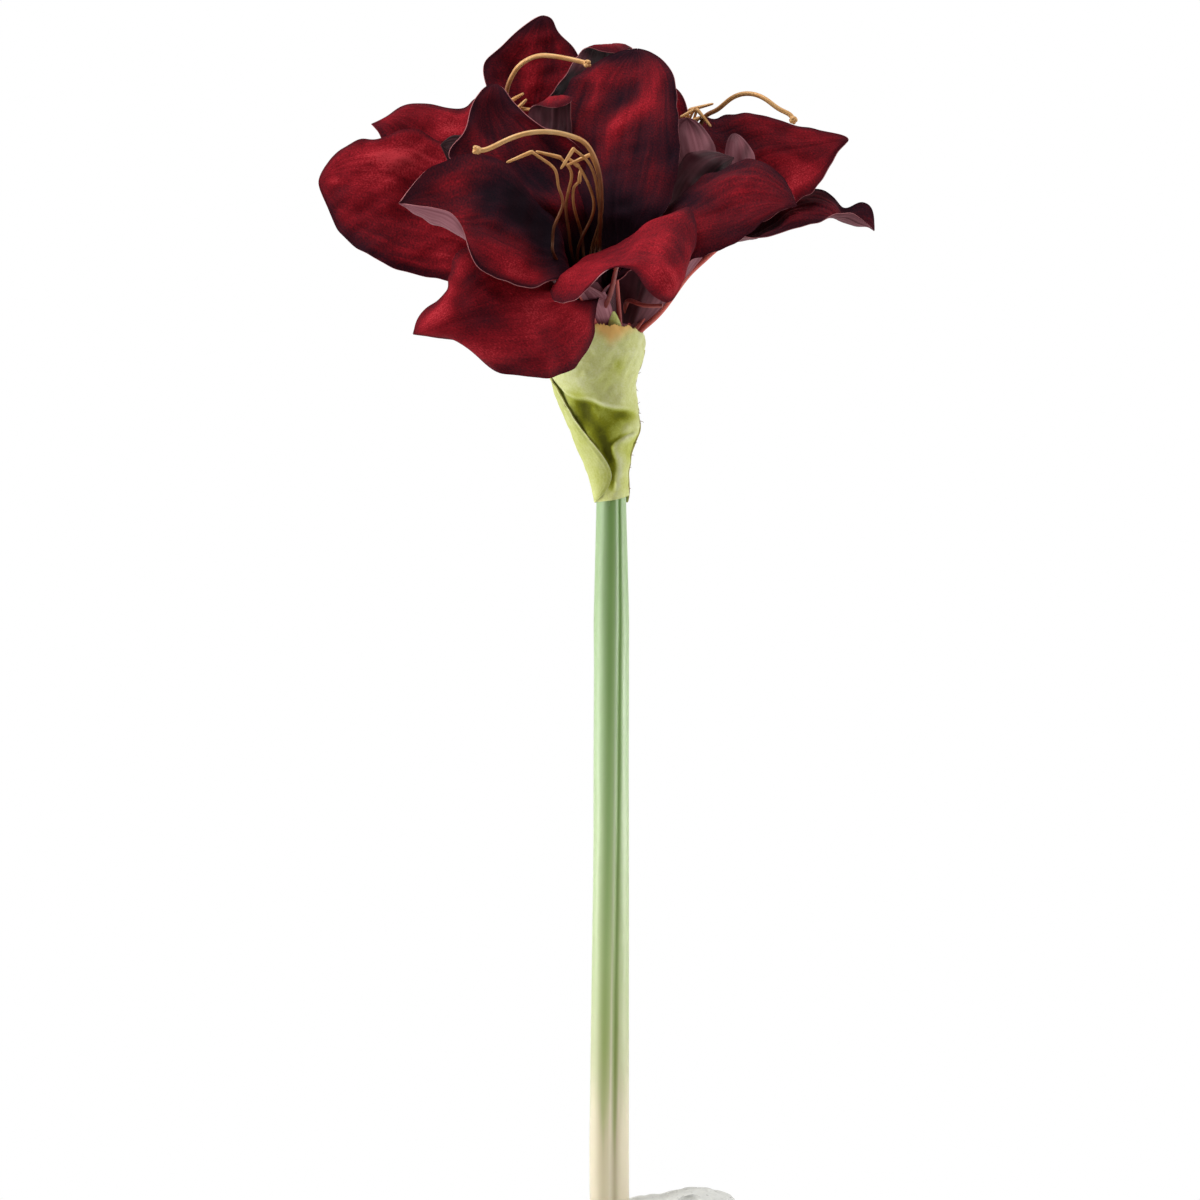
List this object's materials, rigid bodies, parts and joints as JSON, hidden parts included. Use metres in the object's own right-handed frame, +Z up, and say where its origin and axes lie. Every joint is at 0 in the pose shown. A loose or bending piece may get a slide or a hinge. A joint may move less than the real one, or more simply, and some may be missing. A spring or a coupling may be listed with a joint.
{
  "type": "amaryllis in vase",
  "caption": "Amaryllis scape with open trumpet blooms and long gold stamens, standing in the hole of a low pebble-shaped stoneware vase.",
  "frame": {"origin": "centre of the vase's flat foot, on the axis of the hole that holds the scape", "axes": "+Z up along the scape, the open blooms face -Y, +X to the right as seen from the front"},
  "size_m": [0.2767, 0.1762, 0.7431],
  "materials": {
    "stoneware": "rough unglazed stoneware with fine grey speckles",
    "stem": "smooth semi-matt moulded stem, green at the top and cream below",
    "bract": "thin printed fabric, yellow-green",
    "petal": "deep red velvet inside, mauve satin outside",
    "stamen": "gold-painted plastic"
  },
  "bodies": {
    "root": {"vase": "stoneware", "scape": "stem", "bract_front": "bract", "bract_left": "bract", "bract_inner": "bract", "bloom_front": "petal", "bloom_left": "petal", "bloom_right": "petal", "stamens_front": "stamen", "stamens_left": "stamen", "stamens_right": "stamen"}
  },
  "joints": []
}
